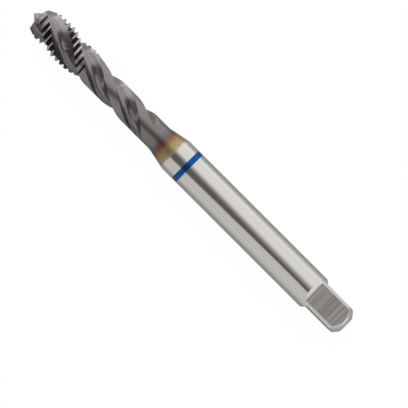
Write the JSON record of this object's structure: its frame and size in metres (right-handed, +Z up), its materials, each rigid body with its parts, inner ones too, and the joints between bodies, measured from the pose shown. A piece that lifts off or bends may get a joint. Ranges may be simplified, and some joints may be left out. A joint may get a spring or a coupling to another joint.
{
  "type": "thread tap",
  "caption": "Spiral-flute machine tap with a fluted thread, slim neck, round shank, coloured band and driving square.",
  "frame": {"origin": "middle of the tap's length, on the ground under its shank", "axes": "+X along the tap's axis from the cutting end to the driving square, +Z up"},
  "size_m": [0.0914, 0.008, 0.008],
  "materials": {
    "tool_steel": "ground high-speed steel; dark oxide coat on thread and neck, heat tints on the cone, blue lacquer band on the shank"
  },
  "bodies": {
    "root": {"tap": "tool_steel"}
  },
  "joints": []
}
